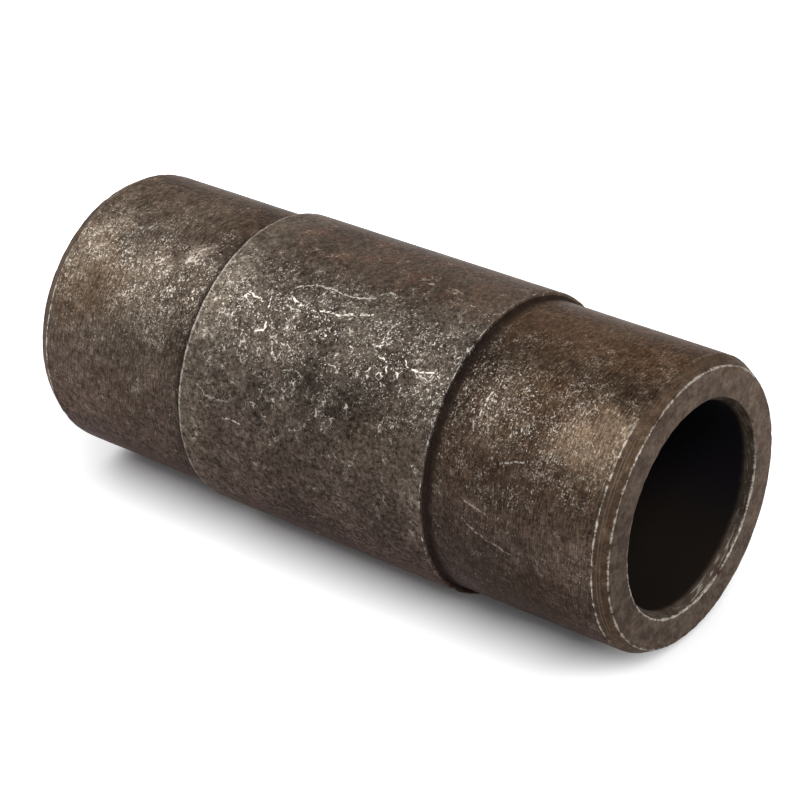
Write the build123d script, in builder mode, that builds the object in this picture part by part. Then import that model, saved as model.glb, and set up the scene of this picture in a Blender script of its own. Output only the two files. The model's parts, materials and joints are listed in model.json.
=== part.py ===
from build123d import *
from math import radians, tan
import os

# A track chain bushing: one hardened steel sleeve, turned on a lathe.
# It stands on one end, with its bore along Z and the lower end face on the plane Z = 0.
# Both ends are pressed into chain links, and the raised band between them is the wearing surface.

os.makedirs("parts", exist_ok=True)

# Sleeve, in millimetres
bore_diameter = 31.6  # runs on the chain pin
wall = 6.7  # from the bore to the outside of either end
end_length = 31.0  # each pressed end, from its face to the shoulder
band_length = 46.5  # the raised band, from shoulder to shoulder
shoulder_step = 1.0  # how far the band stands out from the ends

# Edges
chamfer_angle = 30.0  # of every lead-in, measured from the sleeve's axis
end_lead_in = 2.1  # length of the chamfer that guides an end into its link
bore_lead_in = 1.4  # length of the chamfer at each mouth of the bore
root_radius = 0.4  # tool radius left in the corner under each shoulder
edge_break = 0.2  # small chamfer on both edges of the band

# Sizes that follow from the ones above
bore_radius = bore_diameter / 2
end_radius = bore_radius + wall
band_radius = end_radius + shoulder_step
half_band = band_length / 2
half_length = half_band + end_length
end_lead_in_depth = end_lead_in * tan(radians(chamfer_angle))
bore_lead_in_depth = bore_lead_in * tan(radians(chamfer_angle))

# The section is drawn on an upright plane whose origin lies at mid-length on the axis,
# so a point is (radius, height above mid-length)
section_plane = Plane.XZ.shift_origin((0, 0, half_length))
shoulder_root = (end_radius, half_band)
shoulder_rim = (band_radius, half_band)


with BuildPart() as bushing:
    with BuildSketch(section_plane) as section:
        # Upper half of the turned section
        with BuildLine():
            Polyline(
                (bore_radius, 0),
                (band_radius, 0),
                shoulder_rim,
                shoulder_root,
                (end_radius, half_length - end_lead_in),
                (end_radius - end_lead_in_depth, half_length),
                (bore_radius + bore_lead_in_depth, half_length),
                (bore_radius, half_length - bore_lead_in),
                close=True,
            )
        make_face()
        fillet(section.vertices().sort_by_distance(shoulder_root)[0], radius=root_radius)
        chamfer(section.vertices().sort_by_distance(shoulder_rim)[0], length=edge_break)

        # The lower half is the same, turned over
        mirror(about=Plane.XZ)
    revolve(axis=Axis.Z)

bushing.part.label = "bushing"
export_step(bushing.part, "parts/bushing.step")
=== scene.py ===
import json
import math
from types import SimpleNamespace

import bpy
import numpy as np
from mathutils import Matrix, Vector


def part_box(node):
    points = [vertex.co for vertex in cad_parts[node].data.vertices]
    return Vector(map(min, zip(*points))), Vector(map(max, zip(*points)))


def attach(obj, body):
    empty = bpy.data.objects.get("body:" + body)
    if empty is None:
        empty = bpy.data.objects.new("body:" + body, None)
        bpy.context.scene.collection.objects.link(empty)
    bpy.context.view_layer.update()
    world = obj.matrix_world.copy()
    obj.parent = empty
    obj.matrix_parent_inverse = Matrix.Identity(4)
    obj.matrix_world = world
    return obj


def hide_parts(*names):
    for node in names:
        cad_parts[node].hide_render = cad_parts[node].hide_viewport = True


# Looks of a track chain bushing: a turned, hardened steel sleeve with a dark brown-grey oxide skin.
# The row's frame stands the sleeve on its end, with its bore along Z. The photograph shows it lying
# down, so the stage is an upright plane that touches the band's +Y side, and the camera is rolled.
# Angles round the sleeve run from -Y, which is up in the photograph, and grow towards -X.
# Distances along it run from the upper face, which is the near one in the photograph.

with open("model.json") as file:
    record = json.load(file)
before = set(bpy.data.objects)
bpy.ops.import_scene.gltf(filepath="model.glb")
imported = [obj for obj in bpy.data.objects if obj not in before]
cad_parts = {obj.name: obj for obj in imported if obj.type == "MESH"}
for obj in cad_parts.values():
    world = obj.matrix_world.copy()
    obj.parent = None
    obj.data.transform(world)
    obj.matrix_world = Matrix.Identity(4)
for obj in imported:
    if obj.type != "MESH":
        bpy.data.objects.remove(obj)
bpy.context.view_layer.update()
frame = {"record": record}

MM = 0.001
TURN = 2 * math.pi

# Sizes in millimetres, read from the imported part. It doesn't give the lead-ins' slope and the root
# radius, which are the same values as in the part's source.
mounts = {m["name"]: m for m in frame["record"]["mounts"]}
low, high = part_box("bushing")
length = (high.z - low.z) / MM
band_radius = high.x / MM
bore_radius = mounts["bore"]["dims"]["r_mm"]
end_radius = mounts["upper_end"]["dims"]["r_mm"]
bore_lead_in = (length - mounts["bore"]["dims"]["length_mm"]) / 2
pressed_length = mounts["upper_end"]["dims"]["length_mm"]
pressed_top = mounts["upper_end"]["pos_m"][2] / MM + pressed_length / 2
end_lead_in = length - pressed_top
lead_in_slope = math.tan(math.radians(30))
root_radius = 0.4
shoulder = pressed_top - pressed_length - root_radius
end_length = length - shoulder
mid = length / 2
face_outer = end_radius - end_lead_in * lead_in_slope
face_inner = bore_radius + bore_lead_in * lead_in_slope

# Rims of the section, the same at both ends: radius, and distance from the nearer face
BAND_RIM = (band_radius, end_length)
LEAD_IN_RIM = (end_radius, end_lead_in)
FACE_RIM = (face_outer, 0.0)
MOUTH_RIM = (face_inner, 0.0)

# Mesh fineness: points in each ring, and the spacing of the rings along the plain stretches
SEGMENTS = 480
RING_SPACING = 1.15

# Two faint tool lines run round the lead-in chamfer, at these distances from the face
TOOL_LINES = (1.12, 1.48)
TOOL_LINE_WIDTH = 0.1
TOOL_LINE_DEPTH = 0.015

# Small bruises all over the outside but for a margin at each face, and nicks of each rim: how many,
# their sizes from and to, and how deep they are as a share of the size
BRUISES = SimpleNamespace(count=150, size=(0.9, 2.6), depth_share=(0.01, 0.035))
NICKS = SimpleNamespace(count=12, size=(0.4, 1.0), depth_share=(0.03, 0.09))
BRUISE_MARGIN = 3
DENT_SEED = 5

# Long shallow hollows of the outside, made of many waves
HOLLOW_DEPTH = 0.09
HOLLOW_WAVES = 40
HOLLOW_SEED = 11

# Ragged wear of the rims: rim and depth, how far the wear reaches from it, the fewest and most waves
# round a rim, and the seed of the first rim
NIBBLED_RIMS = [(BAND_RIM, 0.03), (FACE_RIM, 0.03), (LEAD_IN_RIM, 0.02), (MOUTH_RIM, 0.04)]
NIBBLE_REACH = 0.3
NIBBLE_WAVES = (8, 70)
NIBBLE_SEED = 20

# Dents that the photograph shows on the near rims: angle, rim, size, depth
RIM_DENTS = [
    (-25.8, BAND_RIM, 0.9, 0.30),
    (-12.2, BAND_RIM, 0.8, 0.22),
    (-87.0, BAND_RIM, 0.9, 0.20),
    (-76.2, BAND_RIM, 0.7, 0.16),
    (-80.8, FACE_RIM, 0.7, 0.32),
    (-101.2, FACE_RIM, 0.6, 0.34),
    (-112.0, FACE_RIM, 0.5, 0.22),
    (27.0, FACE_RIM, 1.0, 0.16),
    (-58.0, LEAD_IN_RIM, 0.7, 0.16),
    (-90.0, LEAD_IN_RIM, 0.8, 0.14),
    (-123.0, MOUTH_RIM, 0.7, 0.16),
    (150.0, MOUTH_RIM, 0.8, 0.22),
    (62.0, MOUTH_RIM, 0.8, 0.18),
]

# Scratches that stand out in the photograph: points are (angle, distance), width and strength
SCRATCHES = [
    (((-30.0, 49.0), (-32.0, 51.5), (-34.0, 53.8), (-34.8, 56.4), (-36.0, 58.9)), 0.24, 1.0),
    (((-35.5, 60.5), (-34.2, 62.3), (-33.0, 63.4)), 0.26, 1.0),
    (((-18.2, 48.6), (-20.0, 49.9), (-22.5, 50.5)), 0.16, 0.6),
    (((-22.5, 50.5), (-25.0, 52.6), (-25.8, 54.7), (-25.2, 57.3), (-25.2, 59.7)), 0.20, 0.9),
    (((-25.2, 59.7), (-25.8, 60.9), (-28.0, 62.7), (-30.0, 63.8)), 0.18, 0.8),
    (((-37.2, 70.5), (-38.8, 67.6)), 0.20, 0.9),
    (((-37.5, 63.8), (-37.5, 60.5)), 0.16, 0.6),
    (((-36.2, 66.4), (-40.2, 66.1)), 0.20, 0.9),
    (((-50.3, 66.3), (-48.8, 64.9), (-45.8, 65.0)), 0.22, 0.9),
    (((-50.0, 63.3), (-53.0, 62.2), (-55.8, 61.8)), 0.18, 0.7),
    (((-55.8, 61.8), (-57.7, 60.8), (-55.0, 60.3)), 0.24, 1.0),
    (((-28.8, 44.1), (-32.8, 44.8), (-36.2, 44.9), (-39.8, 44.7), (-41.8, 44.5)), 0.18, 0.8),
    (((-40.5, 46.0), (-39.8, 44.7)), 0.22, 0.9),
    (((-43.5, 44.1), (-44.5, 42.7), (-48.5, 41.7)), 0.18, 0.8),
    (((-42.0, 39.7), (-44.0, 39.0), (-44.5, 37.2), (-43.2, 34.4)), 0.18, 0.8),
    (((-49.0, 44.7), (-51.0, 45.1), (-52.0, 44.4)), 0.18, 0.8),
    (((-50.8, 43.2), (-49.5, 42.9), (-50.0, 42.2)), 0.22, 0.9),
    (((-78.8, 67.5), (-79.3, 72.0), (-75.8, 74.3)), 0.16, 0.45),
    (((-85.0, 65.3), (-85.0, 68.6)), 0.16, 0.8),
    (((-97.5, 16.1), (-93.8, 21.8), (-90.0, 24.0)), 0.22, 0.45),
    (((-85.0, 19.9), (-82.5, 24.0)), 0.16, 0.5),
    (((-61.3, 15.8), (-63.8, 18.8)), 0.22, 0.6),
    (((-47.2, 25.1), (-44.5, 25.0), (-41.2, 24.8)), 0.20, 0.7),
    (((-51.5, 25.0), (-48.8, 25.4)), 0.20, 0.7),
    (((-50.5, 22.7), (-48.2, 22.3)), 0.16, 0.6),
    (((-57.0, 25.2), (-53.5, 25.7)), 0.18, 0.6),
    (((-37.0, 11.9), (-33.8, 11.0)), 0.16, 0.5),
    (((-33.8, 84.7), (-29.5, 84.5)), 0.45, 0.6),
    (((-29.5, 83.9), (-25.2, 83.6)), 0.35, 0.6),
    (((-38.2, 89.9), (-36.8, 89.3), (-33.2, 88.6)), 0.35, 0.5),
    (((-46.2, 84.7), (-44.8, 84.3)), 0.35, 0.6),
    (((-49.0, 89.9), (-47.2, 89.5)), 0.35, 0.5),
]

# Patches that the photograph shows lighter or darker than the skin round them:
# (angle, distance), radius and gain
PATCHES = [
    ((-28.0, 75.5), 5.0, 0.25),
    ((-52.0, 76.0), 3.5, 0.15),
    ((-27.0, 83.5), 2.5, 0.90),
    ((-44.0, 84.0), 4.0, -0.20),
    ((-50.0, 101.0), 4.5, -0.20),
    ((-38.0, 89.0), 3.5, 0.35),
    ((-52.0, 90.0), 5.5, 0.10),
    ((-30.0, 103.0), 3.5, 0.18),
    ((-34.0, 96.5), 4.0, -0.30),
    ((-54.0, 97.0), 4.0, -0.20),
    ((-75.0, 89.0), 4.5, -0.25),
    ((-56.0, 60.5), 3.5, 0.55),
    ((-60.0, 66.0), 5.5, 0.30),
    ((-97.0, 65.0), 6.0, 0.25),
    ((-71.0, 57.0), 2.2, 0.45),
    ((-40.0, 55.0), 4.2, -0.36),
    ((-62.0, 55.0), 5.0, -0.36),
    ((-74.0, 62.0), 3.5, -0.36),
    ((-50.0, 42.0), 6.0, -0.30),
    ((-66.0, 46.0), 4.0, -0.30),
    ((-44.0, 37.0), 2.8, 0.30),
    ((-17.0, 37.5), 4.0, 0.20),
    ((-10.0, 44.0), 5.5, -0.28),
    ((-8.0, 66.0), 4.0, -0.22),
    ((-88.0, 32.0), 4.0, 0.50),
    ((-106.0, 32.0), 3.0, 0.45),
    ((-32.0, 28.0), 6.0, -0.38),
    ((-51.0, 28.0), 4.0, -0.22),
    ((-25.0, 17.0), 4.0, -0.22),
    ((-14.0, 23.0), 6.0, -0.22),
    ((-45.0, 17.0), 5.0, -0.32),
    ((-26.0, 10.0), 6.0, -0.32),
    ((-24.0, 4.0), 5.0, -0.28),
    ((-50.0, 22.0), 5.0, 0.15),
    ((-70.0, 12.0), 5.0, 0.20),
    ((-90.0, 2.0), 6.0, 0.50),
    ((-90.0, 22.0), 6.0, 0.15),
    # This patch darkens the underside of the near end: painted shade.
    ((-122.0, 16.0), 12.0, -0.35),
    ((-122.0, 54.0), 8.0, -0.15),
]

# Patches that the photograph shows browner, with the share of brown in place of the gain
BROWN_PATCHES = [
    ((-40.0, 14.0), 8.0, 0.35),
    ((-30.0, 17.0), 4.0, 0.20),
    # This patch browns the underside of the near end: painted shade.
    ((-124.0, 13.0), 10.0, 0.35),
    ((-55.0, 97.0), 6.0, 0.35),
    ((-64.0, 104.0), 5.0, 0.30),
    ((-45.0, 77.0), 5.0, 0.15),
    ((-70.0, 38.0), 8.0, 0.15),
    ((-80.0, 45.0), 6.0, 0.12),
]

# Patches with few marks, with the share of marks missing there
SMOOTH_PATCHES = [
    ((-25.0, 6.0), 6.0, 0.75),
    ((-45.0, 5.0), 7.0, 0.50),
    ((-50.0, 11.0), 3.5, 0.20),
    ((-54.0, 99.0), 6.0, 0.50),
    ((-20.0, 18.0), 6.0, 0.60),
    ((-24.0, 26.5), 3.5, 0.40),
    ((-38.0, 14.5), 3.5, 0.30),
    ((-66.0, 24.0), 4.0, 0.40),
]

# Patches of the ends in a smooth, light tan, with the share of tan: partly a rubbed finish and partly a
# painted highlight
TAN_HIGHLIGHT_PATCHES = [
    ((-45.0, 5.0), 7.5, 0.38),
    ((-50.0, 10.0), 4.5, 0.24),
    ((-52.0, 99.0), 6.0, 0.20),
]

# Directions round the sleeve, in degrees, where the photograph shows a change in the skin.
# The far rubbed side is out of sight.
# The rubbed and lit side is also where the lamps' highlight falls: marks, glints and polish drawn denser
# there are partly wear and partly painted highlight.
RUBBED_AND_LIT_SIDE = -42
FAR_RUBBED_SIDE = 118
# The rusty top is also painted lighter: painted sheen.
RUSTY_AND_SHEENED_TOP = 15
OILED_TOP = 20
# The two dimmed strips lie where the highlight falls; the skin is painted darker there, painted shade that
# tones the highlight down.
DIMMED_HIGHLIGHT_OF_BAND = -48
DIMMED_HIGHLIGHT_OF_END = -45
SHADY_SIDE = -85
BRIGHT_SIDE_OF_FACE = 62
WORN_SIDE_OF_MOUTH = 160

# The outer skin begins between these radii, which lie on the flat of the face
OUTER_SKIN = (20.0, 21.0)

# Relief of the skin, in millimetres
GRAIN_HEIGHT = 0.034
MOTTLE_HEIGHT = 0.060
RING_HEIGHT = 0.012

# Colours, as the 0 to 255 numbers of a screen. A pair is the dark and the light part of a mottled skin,
# and in the bore the upper and the lower side, where the lower side is lighter: painted light.
BAND_SKIN = ((60, 52, 46), (79, 71, 63))
BAND_SHADED = ((62, 52, 47), (82, 71, 64))
NEAR_END_SKIN = ((60, 47, 38), (79, 65, 53))
FAR_END_SKIN = ((68, 58, 50), (86, 76, 66))
END_SHADED = ((60, 50, 45), (81, 69, 63))
LEAD_IN_SKIN = ((65, 51, 41), (86, 70, 56))
FACE_SKIN = ((79, 67, 59), (103, 90, 79))
MOUTH_SKIN = ((62, 52, 45), (84, 73, 64))
BORE_SKIN = ((22, 20, 23), (31, 26, 22))
POLISH_AND_HIGHLIGHT = (108, 90, 71)
TAN_HIGHLIGHT = (121, 104, 87)
END_FILM = (72, 52, 35)
BAND_FILM = (84, 71, 60)
# SHADED_UNDERSIDE is painted shade of the side that faces the stage
SHADED_UNDERSIDE = (84, 60, 52)
END_BROWN = (82, 61, 43)
BAND_BROWN = (86, 71, 57)
RUST = (92, 66, 54)
HAZE = (100, 92, 81)
GLINT = (148, 139, 124)
# ROOT_DIRT_AND_SHADE is dirt and painted shade at the root of the shoulder
ROOT_DIRT_AND_SHADE = (34, 26, 23)
BARE_STEEL = (182, 175, 165)


class Nodes:
    """Builds a node tree with one short call for each node."""

    def __init__(self, tree):
        self.tree = tree
        tree.nodes.clear()

    def feed(self, socket, value):
        if isinstance(value, bpy.types.NodeSocket):
            self.tree.links.new(value, socket)
        else:
            socket.default_value = value

    def add(self, kind, inputs, out=0, **settings):
        node = self.tree.nodes.new(kind)
        for name, value in settings.items():
            setattr(node, name, value)
        for name, value in inputs.items():
            self.feed(node.inputs[name], value)
        return node.outputs[out] if node.outputs else None

    def math(self, operation, a, b=0.0):
        return self.add("ShaderNodeMath", {0: a, 1: b}, operation=operation)

    def vector(self, operation, a, b=(0.0, 0.0, 0.0), out=0):
        return self.add("ShaderNodeVectorMath", {0: a, 1: b}, out=out, operation=operation)

    def times(self, first, *others):
        for other in others:
            both_known = isinstance(first, (int, float)) and isinstance(other, (int, float))
            first = first * other if both_known else self.math("MULTIPLY", first, other)
        return first

    def plus(self, first, *others):
        for other in others:
            first = self.math("ADD", first, other)
        return first

    def minus(self, first, other):
        return self.math("SUBTRACT", first, other)

    def most(self, first, *others):
        for other in others:
            first = self.math("MAXIMUM", first, other)
        return first

    def opposite(self, value):
        return self.minus(1.0, value)

    def gap(self, value, centre):
        """Distance of a number from centre."""
        return self.math("ABSOLUTE", self.minus(value, centre))

    def ramp(self, value, start, end, low=0.0, high=1.0):
        """Smooth change from low, where value is start, to high, where it is end."""
        inputs = {"Value": value, "From Min": start, "From Max": end, "To Min": low, "To Max": high}
        return self.add("ShaderNodeMapRange", inputs, interpolation_type="SMOOTHSTEP")

    def noise(self, vector, scale, detail=2.0, roughness=0.5, out=0):
        inputs = {"Vector": vector, "Scale": scale, "Detail": detail, "Roughness": roughness}
        return self.add("ShaderNodeTexNoise", inputs, out=out)

    def strokes(self, flat, lean, wide, long):
        """Noise drawn out into short strokes on the unrolled skin, leaning lean degrees from the axis."""
        inputs = {"Vector": flat, "Angle": math.radians(lean)}
        turned = self.add("ShaderNodeVectorRotate", inputs, rotation_type="Z_AXIS")
        inputs = {"Vector": self.stretch(turned, 1 / wide, 1 / long, 0), "Scale": 1.0, "Detail": 1.0}
        return self.add("ShaderNodeTexNoise", inputs, noise_dimensions="2D")

    def parts(self, vector):
        """The three coordinates of a vector."""
        node = self.tree.nodes.new("ShaderNodeSeparateXYZ")
        self.feed(node.inputs[0], vector)
        return tuple(node.outputs)

    def stretch(self, vector, x, y, z):
        return self.vector("MULTIPLY", vector, (x, y, z))

    def shift(self, vector, x, y, z):
        return self.vector("ADD", vector, (x, y, z))

    def mix(self, factor, a, b):
        return self.add("ShaderNodeMix", {0: factor, 6: a, 7: b}, out=2, data_type="RGBA")

    def mottled(self, factor, pair):
        """Mix of the two screen colours of a pair."""
        dark, light = pair
        return self.mix(factor, screen(dark), screen(light))

    def shade(self, colour, amount):
        """A colour or vector times a number."""
        inputs = {0: colour, "Scale": amount}
        return self.add("ShaderNodeVectorMath", inputs, operation="SCALE")


def screen(colour):
    """Linear colour, from the 0 to 255 numbers that a screen shows."""
    levels = [c / 255 for c in colour]
    return tuple(c / 12.92 if c < 0.04045 else ((c + 0.055) / 1.055) ** 2.4 for c in levels) + (1.0,)


# Turned section: points are (radius, height) in millimetres


def unit(v):
    return v / np.linalg.norm(v)


def round_off(before, corner, after, radius, steps):
    """Points of the arc that replaces a corner between two straight runs."""
    a, b = unit(before - corner), unit(after - corner)
    half = math.acos(a @ b) / 2
    centre = corner + unit(a + b) * radius / math.sin(half)
    start = unit(corner + a * radius / math.tan(half) - centre)
    end = unit(corner + b * radius / math.tan(half) - centre)
    turn = math.pi - 2 * half
    arc = []
    for share in np.linspace(0, 1, steps):
        way = (math.sin((1 - share) * turn) * start + math.sin(share * turn) * end) / math.sin(turn)
        arc.append(centre + radius * way)
    return arc


def upper_section():
    """Mid-length on the band, up over the shoulder and the end, and down the bore to mid-length."""
    # Corner, radius of its worn round, points in the round, spacing of the points on the run before it
    corners = [
        ((band_radius, mid), 0, 0, 1),
        ((band_radius, shoulder), 0.22, 5, RING_SPACING),
        ((end_radius, shoulder), root_radius, 5, 0.3),
        ((end_radius, length - end_lead_in), 0.6, 4, RING_SPACING),
        ((face_outer, length), 0.2, 5, 0.19),
        ((face_inner, length), 0.16, 4, 0.6),
        ((bore_radius, length - bore_lead_in), 0.4, 4, 0.35),
        ((bore_radius, mid), 0, 0, 6.0),
    ]
    points = []
    for i, (corner, radius, steps, spacing) in enumerate(corners):
        corner = np.array(corner)
        if radius:
            before, after = np.array(corners[i - 1][0]), np.array(corners[i + 1][0])
            stretch = round_off(before, corner, after, radius, steps)
        else:
            stretch = [corner]
        if points:
            start, run = points[-1], stretch[0] - points[-1]
            count = max(1, round(np.linalg.norm(run) / spacing))
            points += [start + run * k / count for k in range(1, count)]
        points += stretch
    return points


def whole_section():
    upper = upper_section()
    lower = [np.array((r, length - z)) for r, z in reversed(upper)]
    return np.array(upper + lower[1:-1])


def is_outside(section):
    """True for the points of a section on the outer half of the wall."""
    return section[:, :1] > (end_radius + bore_radius) / 2


def section_normals(section):
    """Unit normals of the closed section, pointing out of the metal."""

    def units(vectors):
        return vectors / np.linalg.norm(vectors, axis=1)[:, None]

    along = units(np.roll(section, -1, axis=0) - section) + units(section - np.roll(section, 1, axis=0))
    return units(np.stack([along[:, 1], -along[:, 0]], axis=1))


# Wear in the mesh: each function gives the depth of metal lost, in millimetres


def wave(angle, seed, slowest, fastest):
    """Smooth noise round the sleeve, about -1 to 1, with whole numbers of waves from slowest to fastest."""
    draw = np.random.default_rng(seed)
    counts = np.arange(slowest, fastest + 1)
    sizes = draw.normal(size=len(counts)) / np.sqrt(len(counts))
    phases = draw.uniform(0, TURN, len(counts))
    return sum(s * np.sin(c * angle + p) for s, c, p in zip(sizes, counts, phases))


def hollows(angle, height):
    """Long shallow hollows left by wear, none deeper than HOLLOW_DEPTH."""
    draw = np.random.default_rng(HOLLOW_SEED)
    total = np.zeros(np.broadcast(angle, height).shape)
    for _ in range(HOLLOW_WAVES):
        waves_round = draw.integers(0, 12)
        waves_along = draw.uniform(0.5, 9)
        phase = draw.uniform(0, TURN)
        total += np.sin(waves_round * angle + waves_along * TURN * height / length + phase)
    return HOLLOW_DEPTH * (total - total.min()) / (total.max() - total.min())


def place_on(angle_deg, radius, distance):
    """Point of the sleeve at an angle from -Y, a radius and a distance from the upper face."""
    t = math.radians(angle_deg)
    return np.array((-radius * math.sin(t), -radius * math.cos(t), length - distance))


def random_dent(draw, kind, radius, distance):
    """Centre, size and depth of a bruise or nick somewhere round the sleeve."""
    size = draw.uniform(*kind.size)
    centre = place_on(draw.uniform(-180, 180), radius, distance)
    return centre, size, size * draw.uniform(*kind.depth_share)


def all_dents():
    """Bruises all over the outside, nicks in the outer rims of both ends, and the named dents."""
    draw = np.random.default_rng(DENT_SEED)
    marks = []
    for _ in range(BRUISES.count):
        distance = draw.uniform(BRUISE_MARGIN, length - BRUISE_MARGIN)
        on_band = end_length < distance < length - end_length
        marks.append(random_dent(draw, BRUISES, band_radius if on_band else end_radius, distance))
    near_rims = [BAND_RIM, FACE_RIM, LEAD_IN_RIM]
    far_rims = [(radius, length - distance) for radius, distance in near_rims]
    for radius, distance in near_rims + far_rims:
        marks += [random_dent(draw, NICKS, radius, distance) for _ in range(NICKS.count)]
    for angle, (radius, distance), size, depth in RIM_DENTS:
        marks.append((place_on(angle, radius, distance), size, depth))
    return marks


def dented(points):
    """What the dents take away at each point."""
    lost = np.zeros(points.shape[:2])
    for centre, size, depth in all_dents():
        away = np.linalg.norm(points - centre, axis=2)
        lost += depth * np.exp(-2 * (away / size) ** 2)
    return lost


def rim_wear(section, angle):
    """A ragged nibble along each sharp rim of both ends, and the tool lines round the lead-ins."""
    reach, height = section[:, :1], section[:, 1:]
    from_end = mid - np.abs(height - mid)
    lost = np.zeros((len(section), len(angle)))
    for i, ((rim_radius, distance), depth) in enumerate(NIBBLED_RIMS):
        away = np.hypot(reach - rim_radius, from_end - distance)
        for j, half in enumerate((height > mid, height <= mid)):
            ragged = np.clip(0.5 + 0.8 * wave(angle, NIBBLE_SEED + 2 * i + j, *NIBBLE_WAVES), 0, 1.4)
            lost += half * depth * ragged * np.exp(-(away / NIBBLE_REACH) ** 2)
    for distance in TOOL_LINES:
        line = np.exp(-((from_end - distance) / TOOL_LINE_WIDTH) ** 2)
        lost += is_outside(section) * TOOL_LINE_DEPTH * line
    return lost


def ring_points(radius, height, angle):
    """Points of the rings: one row for each point of the section, one column for each angle."""
    return np.stack([radius * np.cos(angle), radius * np.sin(angle), height], axis=2)


def build_sleeve():
    section = whole_section()
    normals = section_normals(section)
    angle = np.arange(SEGMENTS) * TURN / SEGMENTS
    radius = np.repeat(section[:, :1], SEGMENTS, axis=1)
    height = np.repeat(section[:, 1:], SEGMENTS, axis=1)
    lost = dented(ring_points(radius, height, angle)) + rim_wear(section, angle)
    lost += is_outside(section) * hollows(angle, height)
    worn = ring_points(radius - lost * normals[:, :1], height - lost * normals[:, 1:], angle) * MM
    index = np.arange(len(section) * SEGMENTS).reshape(len(section), SEGMENTS)
    beside = np.roll(index, -1, axis=1)
    above = np.roll(index, -1, axis=0)
    faces = np.stack([index, beside, np.roll(beside, -1, axis=0), above], axis=2).reshape(-1, 4)
    mesh = bpy.data.meshes.new("bushing_body")
    mesh.from_pydata(worn.reshape(-1, 3).tolist(), [], faces.tolist())
    mesh.polygons.foreach_set("use_smooth", [True] * len(mesh.polygons))
    body = bpy.data.objects.new("bushing_body", mesh)
    bpy.context.scene.collection.objects.link(body)
    return body


# Steel: the nodes work in millimetres, and angles are given in degrees


class SleeveNodes(Nodes):
    """Nodes that know where a point lies on the sleeve, and on which of its surfaces.

    reach is its distance from the axis, distance the one from the upper face, from_end the one from
    the nearer face, and flat its place on the unrolled skin, all in millimetres. turned is its angle
    round the sleeve and off_top the size of that angle, both in radians.
    """

    def __init__(self, tree):
        super().__init__(tree)
        self.point = self.stretch(self.add("ShaderNodeTexCoord", {}, out=3), 1 / MM, 1 / MM, 1 / MM)
        x, y, z = self.parts(self.point)
        self.reach = self.vector("LENGTH", self.stretch(self.point, 1, 1, 0), out=1)
        self.distance = self.minus(length, z)
        self.from_end = self.minus(mid, self.gap(z, mid))
        self.turned = self.math("ARCTAN2", self.times(x, -1.0), self.times(y, -1.0))
        self.off_top = self.math("ABSOLUTE", self.turned)
        unrolled = {0: self.times(self.turned, band_radius), 1: self.distance, 2: 0.0}
        self.flat = self.add("ShaderNodeCombineXYZ", unrolled)

        outside = self.ramp(self.reach, *OUTER_SKIN)
        self.on_band = self.ramp(self.reach, end_radius + 0.3, end_radius + 0.6)
        self.off_band = self.opposite(self.on_band)
        self.on_face = self.times(
            self.ramp(self.from_end, 0.12, 0.05),
            self.ramp(self.reach, face_inner - 0.1, face_inner + 0.1),
        )
        off_face = self.opposite(self.on_face)
        lead_in = self.ramp(self.from_end, end_lead_in, end_lead_in - 0.25)
        self.on_lead_in = self.times(lead_in, outside, off_face)
        self.in_mouth = self.ramp(self.reach, face_inner + 0.1, face_inner - 0.1)
        self.in_bore = self.times(self.in_mouth, self.ramp(self.from_end, 1.1, 2.1))
        self.on_end = self.times(self.off_band, outside, off_face, self.opposite(self.on_lead_in))

    def along(self, start, end, low=0.0, high=1.0):
        """Change from low to high between two distances from the upper face."""
        return self.ramp(self.distance, start, end, low, high)

    def from_top(self, start, end, low=0.0, high=1.0):
        """Change from low to high between two angles from the top, on either side."""
        return self.ramp(self.off_top, math.radians(start), math.radians(end), low, high)

    def around(self, angle, far, near, low=0.0, high=1.0):
        """high up to near degrees from an angle round the sleeve, low from far degrees on."""
        away = self.gap(self.turned, math.radians(angle))
        return self.ramp(away, math.radians(far), math.radians(near), low, high)

    def drift(self, scale, detail):
        """A vector of about -0.5 to 0.5 each way that changes from place to place."""
        return self.vector("SUBTRACT", self.noise(self.point, scale, detail, out=1), (0.5, 0.5, 0.5))

    def vary(self, colour, *factors):
        """A colour made lighter or darker by the signed share that the factors multiply to."""
        return self.shade(colour, self.plus(1.0, self.times(*factors)))


def skin_noise(n):
    """Noise that more than one look shares, from patches of a centimetre down to grain."""
    return SimpleNamespace(
        cloud=n.noise(n.point, 0.085, 3.0),
        cluster=n.noise(n.shift(n.point, 40, 0, 0), 0.28, 3.0, 0.6),
        mottle=n.noise(n.shift(n.point, 0, 70, 0), 0.6, 4.0, 0.62),
        fleck=n.noise(n.shift(n.point, 30, 30, 0), 1.5, 3.0, 0.65),
        grain=n.noise(n.point, 2.9, 2.0, 0.55),
        speck=n.noise(n.shift(n.point, 0, 0, 90), 3.2, 1.0),
        hatch=n.most(n.strokes(n.flat, 68, 0.24, 0.9), n.strokes(n.flat, 100, 0.22, 0.8)),
        warp=n.drift(0.9, 1.0),
    )


def patch_gain(n, flat, patches):
    """What the listed patches add up to at a place on the unrolled skin."""
    total = 0.0
    for (angle, distance), radius, gain in patches:
        centre = (math.radians(angle) * band_radius, distance, 0)
        away = n.vector("DISTANCE", flat, centre, out=1)
        total = n.plus(total, n.ramp(away, 1.25 * radius, 0.3 * radius, 0.0, gain))
    return total


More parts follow.
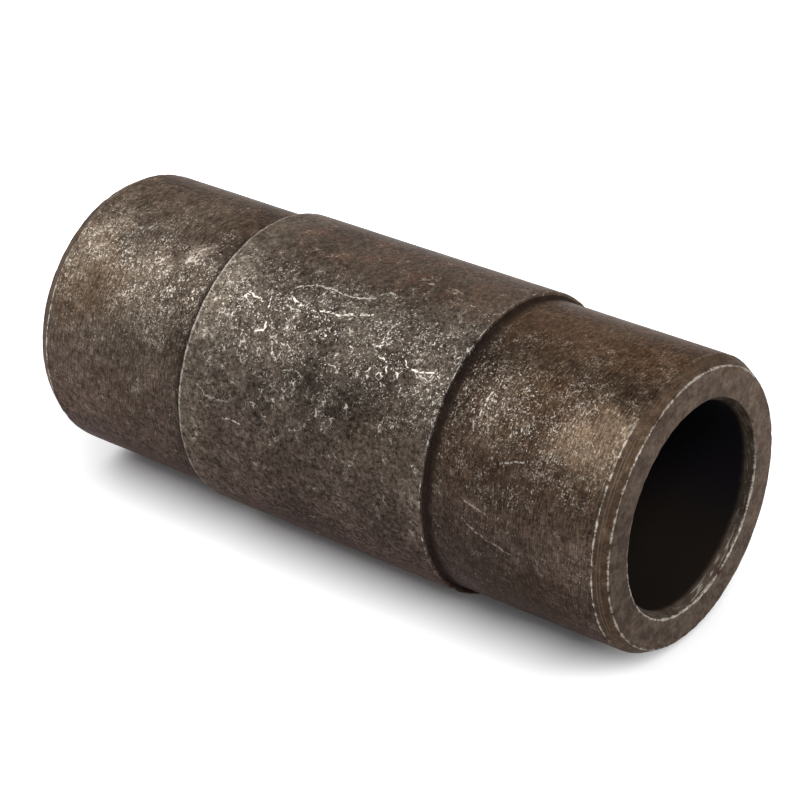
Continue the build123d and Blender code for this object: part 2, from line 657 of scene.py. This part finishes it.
def wear_masks(n, noise):
    """Where the oxide is rubbed thin (partly a painted highlight), where dirt and painted shade darken the
    shoulder root, where it is shaded or on the underside (painted shade) or in a named patch, and where marks
    are few.
    """
    # Partly painted highlight: the near rubbed side is the side where the highlight falls.
    rubbed_and_lit = n.most(n.around(RUBBED_AND_LIT_SIDE, 43, 9), n.around(FAR_RUBBED_SIDE, 46, 11))
    worn_patches = n.ramp(noise.cluster, 0.34, 0.70, 0.0, 0.7)
    rubbed_and_lit = n.plus(n.times(rubbed_and_lit, 0.8), worn_patches, n.times(noise.cloud, 0.4))
    rubbed_and_lit = n.times(rubbed_and_lit, n.opposite(n.times(n.most(n.on_face, n.in_bore), 0.8)))
    # Dirt and painted shade: the ends darken towards the root of the shoulder, where the step shades them.
    root = n.ramp(n.from_end, end_length - 2.0, end_length - 0.7)
    dirt_and_shade = n.times(n.off_band, root, n.along(length, 0, 0.7, 1.0))
    strayed = n.vector("ADD", n.flat, n.stretch(n.drift(0.35, 2.0), 7, 7, 0))
    patches = patch_gain(n, strayed, PATCHES)
    smooth_grain = n.plus(n.times(n.on_face, 0.58), n.times(n.most(n.in_mouth, n.on_lead_in), 0.6))
    return SimpleNamespace(
        rubbed_and_lit=rubbed_and_lit,
        dirt_and_shade=dirt_and_shade,
        clean=n.times(n.opposite(dirt_and_shade), n.opposite(n.in_bore)),
        # Painted shade: the underside, the side that faces the stage.
        shaded_underside=n.times(n.from_top(105, 150), n.opposite(n.on_face)),
        top=n.times(n.around(RUSTY_AND_SHEENED_TOP, 43, 20), n.opposite(n.on_face)),
        shaded=n.from_top(55, 100, 0.0, 0.75),
        rough=n.opposite(smooth_grain),
        patches=patches,
        smooth=patch_gain(n, strayed, SMOOTH_PATCHES),
        tan=patch_gain(n, strayed, TAN_HIGHLIGHT_PATCHES),
        brown=patch_gain(n, strayed, BROWN_PATCHES),
        few=n.plus(n.ramp(rubbed_and_lit, 0.2, 1.7, 0.06, -0.03), n.times(patches, -0.06), n.times(n.on_end, -0.005)),
    )


def scattered_marks(n, noise, wear):
    """Bare metal in specks, dots, crooked threads and short strokes, most of it on the rubbed sides. Densest
    where the highlight falls, they are partly wear and partly painted highlight.
    """

    def standing_out(noise_value, start, end):
        """1 where a noise is high, and less often where marks are few."""
        return n.ramp(n.minus(noise_value, wear.few), start, end)

    thin = n.ramp(wear.rubbed_and_lit, 0.2, 1.4, 0.25, 1.0)
    crooked = n.times(thin, n.plus(n.times(n.on_band, 0.6), 0.25))
    warped = n.vector("ADD", n.point, n.stretch(noise.warp, 1.6, 1.6, 1.6))

    specks = standing_out(noise.speck, 0.64, 0.80)
    marks = n.times(specks, thin, n.plus(0.8, n.times(n.on_end, -0.2)))
    dots = standing_out(n.noise(n.shift(n.point, 0, 50, 50), 2.0, 1.0), 0.66, 0.76)
    missing_on_ends = n.along(end_length, length - end_length, -0.40, -0.12)
    marks = n.most(marks, n.times(dots, thin, n.plus(0.65, n.times(n.on_end, missing_on_ends))))
    leans_and_lengths = ((15, 0.8), (80, 0.9), (-45, 0.7))
    scuffs = n.most(*(n.strokes(n.flat, lean, 0.2, long) for lean, long in leans_and_lengths))
    marks = n.most(marks, n.times(standing_out(scuffs, 0.74, 0.86), thin))
    dashes = n.ramp(n.gap(n.noise(warped, 1.2, 0.0), 0.5), 0.030, 0.010)
    marks = n.most(marks, n.times(dashes, n.ramp(noise.mottle, 0.54, 0.62), crooked))
    threads = n.ramp(n.gap(n.noise(warped, 0.42, 0.0), 0.5), 0.022, 0.007)
    threads = n.times(threads, n.ramp(noise.mottle, 0.52, 0.58), n.ramp(noise.cluster, 0.46, 0.58))
    marks = n.most(marks, n.times(threads, crooked, 1.2))
    hatched = n.times(standing_out(noise.hatch, 0.71, 0.85), n.on_end, n.ramp(noise.cluster, 0.46, 0.60))
    marks = n.most(marks, n.times(hatched, 0.8))

    marks = n.times(marks, wear.clean, n.opposite(wear.smooth), n.plus(1.12, n.times(n.on_band, -0.20)))
    return n.times(marks, n.opposite(n.times(n.most(n.on_lead_in, n.on_face, n.in_mouth), 0.85)))


def named_scratches(n, noise):
    """Bare metal in the scratches of SCRATCHES, a little crooked and broken up."""
    flat = n.vector("ADD", n.flat, n.stretch(noise.warp, 0.9, 0.9, 0))
    bright = 0.0
    for route, width, strength in SCRATCHES:
        stops = [np.array((math.radians(angle) * band_radius, distance, 0)) for angle, distance in route]
        nearest = None
        for start, end in zip(stops, stops[1:]):
            run = end - start
            from_start = n.vector("SUBTRACT", flat, tuple(start))
            share = n.vector("DOT_PRODUCT", from_start, tuple(run / (run @ run)), out=1)
            share = n.math("MINIMUM", n.most(share, 0.0), 1.0)
            away = n.vector("DISTANCE", from_start, n.shade(tuple(run), share), out=1)
            nearest = away if nearest is None else n.math("MINIMUM", nearest, away)
        bright = n.most(bright, n.ramp(nearest, width, width * 0.35, 0.0, strength))
    ragged = n.plus(n.times(noise.grain, 0.6), n.times(noise.fleck, 0.4))
    return n.times(bright, n.ramp(ragged, 0.42, 0.54, 0.05, 1.0))


def edge_line(n, rim, width):
    """1 on a rim (radius, distance) of either end, 0 beyond width from it."""
    radius, distance = rim
    offset = {0: n.minus(n.reach, radius), 1: n.minus(n.from_end, distance), 2: 0.0}
    away = n.vector("LENGTH", n.add("ShaderNodeCombineXYZ", offset), out=1)
    return n.ramp(away, width, n.times(width, 0.35))


def worn_rims(n, noise):
    """Bare metal along the rims, with gaps, and faintly in the tool lines of the lead-ins."""

    def uneven(narrow, wide):
        return n.ramp(noise.mottle, 0.4, 0.6, narrow, wide)

    side = n.around(SHADY_SIDE, 54, 32, 0.15, 1.0)
    gaps = n.ramp(n.noise(n.point, 0.45, 3.0, 0.7), 0.42, 0.58, 0.08, 1.0)
    broken_edge = (band_radius, end_length + 0.1)
    below_edge = (band_radius, end_length + 0.35)
    rims = n.most(
        n.times(edge_line(n, (face_inner, 0.02), uneven(0.20, 0.36)), n.from_top(52, 126)),
        n.times(edge_line(n, (face_outer, 0.02), uneven(0.16, 0.36)), 0.8),
        n.times(edge_line(n, LEAD_IN_RIM, uneven(0.14, 0.30)), side),
        n.times(edge_line(n, broken_edge, uneven(0.14, 0.26)), gaps),
        n.times(edge_line(n, below_edge, 0.26), n.along(70, 77, 0.0, 0.55)),
    )
    beads = n.plus(n.times(noise.grain, 0.5), n.times(noise.fleck, 0.3), n.times(noise.mottle, 0.2))
    rims = n.times(rims, n.ramp(beads, 0.43, 0.55, 0.3, 1.0))
    tool_lines = n.most(*(n.ramp(n.gap(n.from_end, line), 0.09, 0.03) for line in TOOL_LINES))
    return n.most(rims, n.times(tool_lines, n.on_lead_in, side, 0.1))


def mouth_streaks(n):
    """Bare metal in streaks round the bore's lead-in."""
    across = n.add("ShaderNodeCombineXYZ", {0: n.times(n.turned, bore_radius), 1: n.reach, 2: 0.0})
    streaks = n.ramp(n.strokes(across, 90, 0.13, 2.6), 0.56, 0.72)
    lead_in = n.ramp(n.from_end, bore_lead_in, bore_lead_in - 0.4)
    return n.times(streaks, n.in_mouth, lead_in, n.around(WORN_SIDE_OF_MOUTH, 34, 17, 0.2, 1.0), 0.6)


def plain_skin(n, wear, tone):
    """Oxide of the outside: greyer on the band, browner on the ends, lighter towards the lower end."""
    band_skin = n.mottled(tone, BAND_SKIN)
    near_skin = n.mottled(tone, NEAR_END_SKIN)
    far_skin = n.mottled(tone, FAR_END_SKIN)
    end_skin = n.mix(n.along(end_length, length - end_length), near_skin, far_skin)
    end_skin = n.mix(wear.shaded, end_skin, n.mottled(tone, END_SHADED))
    band_skin = n.mix(wear.shaded, band_skin, n.mottled(tone, BAND_SHADED))
    return n.mix(n.on_band, end_skin, band_skin)


def stained(n, noise, wear, skin):
    """The outside with its polish and tan, which are partly a painted highlight, its oil film, the painted
    shade of its underside, brown patches, rust and haze.
    """
    # Polish and painted highlight: a light patch near each face, on the side where the highlight falls.
    polish_and_highlight = n.times(n.on_end, n.ramp(n.from_end, 13.0, 8.0), n.ramp(wear.rubbed_and_lit, 0.6, 1.5))
    polish_and_highlight = n.times(polish_and_highlight, n.ramp(noise.mottle, 0.35, 0.65, 0.5, 1.0))
    polish_and_highlight = n.times(polish_and_highlight, n.along(end_length, length - end_length, 0.35, 0.25))
    skin = n.mix(polish_and_highlight, skin, screen(POLISH_AND_HIGHLIGHT))
    # Tan patches: partly a rubbed finish and partly a painted highlight.
    skin = n.mix(n.times(wear.tan, n.ramp(noise.mottle, 0.35, 0.65, 0.6, 1.0)), skin, screen(TAN_HIGHLIGHT))
    film = n.times(n.around(OILED_TOP, 52, 26), n.along(end_length, length, 0.5, 0.1))
    skin = n.mix(film, skin, n.mix(n.on_band, screen(END_FILM), screen(BAND_FILM)))
    # Painted shade: the underside is browner.
    skin = n.mix(n.times(wear.shaded_underside, n.along(end_length, length, 0.9, 0.6)), skin, screen(SHADED_UNDERSIDE))
    skin = n.mix(wear.brown, skin, n.mix(n.on_band, screen(END_BROWN), screen(BAND_BROWN)))
    rust = n.ramp(n.plus(n.times(noise.cluster, 0.6), n.times(noise.mottle, 0.4)), 0.47, 0.60, 0.0, 0.45)
    rust = n.times(rust, wear.top, n.along(25, 40, 0.3, 1.0), n.along(76, 88, 1.0, 0.35))
    skin = n.mix(rust, skin, screen(RUST))
    haze = n.times(n.on_band, n.along(68, 77), n.ramp(noise.mottle, 0.35, 0.6, 0.15, 0.5))
    return n.mix(haze, skin, screen(HAZE))


def brightness(n, wear):
    """How light the outside is at each angle and distance, with its named patches. The gains by angle are
    painted light and shade.
    """
    low_side = n.ramp(n.gap(n.off_top, math.radians(117)), math.radians(17), math.radians(5))
    return n.plus(
        0.95,
        n.times(n.on_band, n.along(55, 77, 0.0, 0.15)),
        # Painted shade: darker where the highlight falls, on the band and near the upper face.
        n.times(n.on_band, n.around(DIMMED_HIGHLIGHT_OF_BAND, 34, 11, 0.0, -0.07)),
        n.times(n.along(end_length, 0.0, 0.0, -0.05), n.around(DIMMED_HIGHLIGHT_OF_END, 34, 11)),
        # Painted light: lighter low on the side, from 25 to 45 mm.
        n.times(n.along(25, 45, 0.0, 0.14), low_side),
        # Painted shade: darker underside near the upper end.
        n.times(n.along(45, 20, 0.0, -0.22), n.from_top(124, 142)),
        # Painted light: the shaded side of the ends lighter towards the lower end.
        n.times(n.off_band, wear.shaded, n.along(40, 80, 0.0, 0.18)),
        n.times(n.off_band, n.ramp(n.from_end, end_length - 7, end_length - 1, 0.0, -0.25)),
        n.along(82, 96, 0.0, 0.12),
        # Painted light: lighter from 75 degrees off the top.
        n.from_top(75, 110, 0.0, 0.22),
        # Painted shade: darker underside.
        n.from_top(120, 142, 0.0, -0.35),
        # Painted sheen: lighter at the top.
        n.around(RUSTY_AND_SHEENED_TOP, 40, 11, 0.0, 0.30),
        wear.patches,
    )


def face_skin(n, noise):
    """Blotched oxide of the end faces, darker on the shady side."""
    blotch = n.ramp(n.plus(n.times(noise.mottle, 0.5), n.times(noise.cluster, 0.5)), 0.40, 0.60)
    cast = n.plus(
        1.0,
        n.around(SHADY_SIDE, 63, 17, 0.0, -0.20),
        n.around(BRIGHT_SIDE_OF_FACE, 52, 11, 0.0, 0.16),
    )
    return n.shade(n.mottled(blotch, FACE_SKIN), cast)


def speckled(n, noise, wear, skin):
    """The skin with its grain, glints, turning marks and cross strokes."""
    coarse = n.ramp(noise.fleck, 0.30, 0.70, -0.55, 0.55)
    flecks = n.plus(coarse, n.ramp(noise.grain, 0.30, 0.70, -0.25, 0.25))
    flecks = n.times(flecks, n.opposite(n.times(wear.top, n.on_band, 0.35)))
    skin = n.vary(skin, flecks, wear.rough, n.plus(1.0, n.times(n.on_end, -0.4)))
    fine = n.plus(n.times(noise.fleck, 0.35), n.times(noise.grain, 0.35), n.times(noise.speck, 0.3))
    glints = n.times(n.ramp(n.minus(fine, wear.few), 0.53, 0.65), n.on_end, wear.clean)
    glints = n.times(glints, n.ramp(noise.mottle, 0.42, 0.58, 0.4, 1.2))
    skin = n.mix(n.times(glints, n.ramp(wear.rubbed_and_lit, 0.2, 1.4, 0.32, 0.44)), skin, screen(GLINT))
    skin = n.vary(skin, n.on_end, -0.05)
    turning = n.ramp(n.strokes(n.flat, 90, 0.2, 2.4), 0.30, 0.70, -0.3, 0.3)
    skin = n.vary(skin, turning, n.plus(n.on_end, n.times(n.on_lead_in, 0.55)))
    return n.vary(skin, n.ramp(noise.hatch, 0.40, 0.85, -0.15, 0.35), n.on_end)


def oxide_colour(n, noise, wear):
    """Colour of the skin on every surface, without the bare metal."""
    tone = n.ramp(n.plus(n.times(noise.mottle, 0.6), n.times(noise.cloud, 0.4)), 0.38, 0.62)
    skin = stained(n, noise, wear, plain_skin(n, wear, tone))
    skin = n.shade(skin, brightness(n, wear))
    # Painted light: the lead-in is lighter on its lower side.
    lead_in_skin = n.shade(n.mottled(tone, LEAD_IN_SKIN), n.from_top(80, 132, 1.0, 1.45))
    skin = n.mix(n.on_lead_in, skin, lead_in_skin)
    skin = n.mix(n.on_face, skin, face_skin(n, noise))
    skin = speckled(n, noise, wear, skin)
    # Dirt and painted shade at the shoulder root.
    skin = n.mix(n.times(wear.dirt_and_shade, 0.85), skin, screen(ROOT_DIRT_AND_SHADE))
    # Painted shadow: the bore's lead-in is darker on its upper side.
    mouth_skin = n.shade(n.mottled(tone, MOUTH_SKIN), n.from_top(115, 149, 0.55, 1.1))
    skin = n.mix(n.in_mouth, skin, mouth_skin)
    # Painted light: the bore is lighter on its lower side.
    return n.mix(n.in_bore, skin, n.mottled(n.from_top(92, 149), BORE_SKIN))


def dullness(n, wear):
    """How much of its gloss the skin has lost, from 0 to 1."""
    return n.most(
        n.times(wear.shaded_underside, n.along(60, 0, 0.3, 0.9)),
        n.times(wear.dirt_and_shade, 0.9),
        n.times(n.in_bore, 0.95),
        n.times(n.most(n.on_lead_in, n.in_mouth), 0.6),
        n.times(n.on_face, 0.3),
    )


def relief(n, noise, wear):
    """Height of the grain, the mottling and the turned rings of the ends."""
    rings = n.noise(n.stretch(n.point, 0.22, 0.22, 4.2), 1.0, 2.0, 0.6)
    return n.plus(
        n.times(noise.grain, wear.rough, GRAIN_HEIGHT),
        n.times(noise.mottle, MOTTLE_HEIGHT),
        n.times(rings, n.on_end, RING_HEIGHT),
    )


def steel_material():
    material = bpy.data.materials.new("oxidised_steel")
    material.use_nodes = True
    n = SleeveNodes(material.node_tree)
    noise = skin_noise(n)
    wear = wear_masks(n, noise)
    worn = n.most(scattered_marks(n, noise, wear), named_scratches(n, noise))
    worn = n.most(worn, worn_rims(n, noise), mouth_streaks(n))
    colour = n.mix(worn, oxide_colour(n, noise, wear), screen(BARE_STEEL))
    dull = dullness(n, wear)
    oiled = n.plus(
        n.times(n.along(7.0, 14.0, 0.0, 0.20), n.along(end_length + 1, end_length - 1)),
        n.along(70, 40, 0.0, 0.04),
    )
    metallic = n.times(n.plus(0.42, n.times(worn, 0.3), n.times(oiled, -1.0)), n.opposite(dull))
    roughness = n.plus(n.ramp(noise.mottle, 0.3, 0.7, 0.38, 0.50), n.times(worn, -0.10), n.times(dull, 0.15))
    height = relief(n, noise, wear)
    inputs = {
        "Base Color": colour,
        "Metallic": metallic,
        "Roughness": roughness,
        "Specular IOR Level": 0.025,
        "Specular Tint": (0.22, 0.14, 0.12, 1),
        "Normal": n.add("ShaderNodeBump", {"Strength": 1.0, "Distance": MM, "Height": height}),
    }
    shader = n.add("ShaderNodeBsdfPrincipled", inputs)
    n.add("ShaderNodeOutputMaterial", {"Surface": shader})
    return material


# Stage, in metres: the photograph's table is the plane y = band_radius, and "up" there is -Y

FLOOR_REACH = 3.0
LAMP_DISTANCE = 1.0
LAMP_SIZE = (0.8, 0.6)
ROOM_LIGHT = 0.28
WHITE = (1, 1, 1, 1)


def seen_rays(n):
    """1 for rays from the camera, and for mirrored and refracted ones, which see the white background too."""
    path = n.tree.nodes.new("ShaderNodeLightPath")
    return n.most(*(path.outputs[f"Is {kind} Ray"] for kind in ("Camera", "Glossy", "Transmission")))


def floor_material():
    """White paper: it keeps the shadow, turns to plain white away from it, and is clear from behind."""
    material = bpy.data.materials.new("floor_white")
    material.use_nodes = True
    n = Nodes(material.node_tree)
    paint = n.add("ShaderNodeBsdfDiffuse", {"Color": (0.95, 0.95, 0.96, 1)})
    place = n.stretch(n.add("ShaderNodeTexCoord", {}, out=3), 1, 0, 1)
    aside, _, along = n.parts(place)
    away = n.vector("DISTANCE", place, (0, 0, mid * MM), out=1)
    # The glow is painted light: it lifts the floor to white away from the sleeve, and lifts the shadow beyond
    # both ends and on the side away from the camera.
    brightness = n.plus(
        n.ramp(away, 0.06, 0.3, 0.03, 0.8),
        n.ramp(along, 0.094, 0.110, 0.0, 0.35),
        n.ramp(along, 0.006, -0.012, 0.0, 0.35),
        n.ramp(aside, -0.005, -0.045, 0.0, 0.35),
    )
    glow = n.add("ShaderNodeEmission", {"Color": WHITE, "Strength": brightness})
    lit = n.add("ShaderNodeAddShader", {0: paint, 1: glow})
    dull = n.add("ShaderNodeBsdfDiffuse", {"Color": (0.35, 0.35, 0.35, 1)})
    front = n.add("ShaderNodeMixShader", {0: seen_rays(n), 1: dull, 2: lit})
    behind = n.add("ShaderNodeNewGeometry", {}, out=6)
    clear = n.add("ShaderNodeBsdfTransparent", {})
    surface = n.add("ShaderNodeMixShader", {0: behind, 1: front, 2: clear})
    n.add("ShaderNodeOutputMaterial", {"Surface": surface})
    return material


def make_stage():
    mesh = bpy.data.meshes.new("floor")
    square = ((-1, -1), (1, -1), (1, 1), (-1, 1))
    mesh.from_pydata([(FLOOR_REACH * x, high.y, FLOOR_REACH * z) for x, z in square], [], [(0, 1, 2, 3)])
    floor = bpy.data.objects.new("floor", mesh)
    bpy.context.scene.collection.objects.link(floor)
    mesh.materials.append(floor_material())


def look_at(place, target, up):
    """World matrix of a lamp or camera at place that looks at target, with up towards its top edge."""
    back = (place - target).normalized()
    right = up.cross(back).normalized()
    top = back.cross(right)
    return Matrix.Translation(place) @ Matrix((right, top, back)).transposed().to_4x4()


def softbox(name, tilt, along, power):
    """A rectangular lamp over the stage. tilt leans it from straight up towards the camera's side."""
    data = bpy.data.lights.new(name, "AREA")
    data.shape = "RECTANGLE"
    data.size, data.size_y = LAMP_SIZE
    data.energy = power
    lamp = bpy.data.objects.new(name, data)
    bpy.context.scene.collection.objects.link(lamp)
    t = math.radians(tilt)
    centre = Vector((0, 0, mid * MM))
    place = centre + LAMP_DISTANCE * Vector((math.sin(t), -math.cos(t), 0)) + Vector((0, 0, along))
    lamp.matrix_world = look_at(place, centre, Vector((0, 0, 1)))


def make_world():
    world = bpy.data.worlds.new("studio")
    world.use_nodes = True
    bpy.context.scene.world = world
    n = Nodes(world.node_tree)
    seen = n.add("ShaderNodeBackground", {"Color": WHITE, "Strength": 1.0})
    light = n.add("ShaderNodeBackground", {"Color": WHITE, "Strength": ROOM_LIGHT})
    both = n.add("ShaderNodeMixShader", {0: seen_rays(n), 1: light, 2: seen})
    n.add("ShaderNodeOutputWorld", {"Surface": both})


# Camera, fitted to the photograph: degrees, and millimetres for the point it aims at and its distance

CAMERA_AZIMUTH = 56.31
CAMERA_ELEVATION = 33.28
CAMERA_AIM = (-0.54, 0.08, 55.01)
CAMERA_DISTANCE = 414.57
CAMERA_LENS = 121.97
CAMERA_SENSOR = 36


def make_camera():
    """Stands where the photograph was taken from, with the stage plane level in the picture."""
    azimuth, elevation = math.radians(CAMERA_AZIMUTH), math.radians(CAMERA_ELEVATION)
    aim = Vector(CAMERA_AIM) * MM
    level = math.cos(elevation)
    back = Vector((math.sin(azimuth) * level, -math.cos(azimuth) * level, math.sin(elevation)))
    data = bpy.data.cameras.new("camera")
    data.lens = CAMERA_LENS
    data.sensor_width = CAMERA_SENSOR
    data.clip_start, data.clip_end = 0.01, 20
    camera = bpy.data.objects.new("camera", data)
    bpy.context.scene.collection.objects.link(camera)
    camera.matrix_world = look_at(aim + back * CAMERA_DISTANCE * MM, aim, Vector((0, -1, 0)))
    bpy.context.scene.camera = camera


sleeve = build_sleeve()
sleeve.data.materials.append(steel_material())
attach(sleeve, "root")
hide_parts("bushing")

make_stage()
make_world()
softbox("key_left", tilt=28, along=-0.6, power=9.5)
softbox("key_right", tilt=29, along=0.75, power=11)
make_camera()
bpy.context.scene.view_settings.view_transform = "Standard"


def corners(bounds):
    return [list(corner) for corner in bounds]
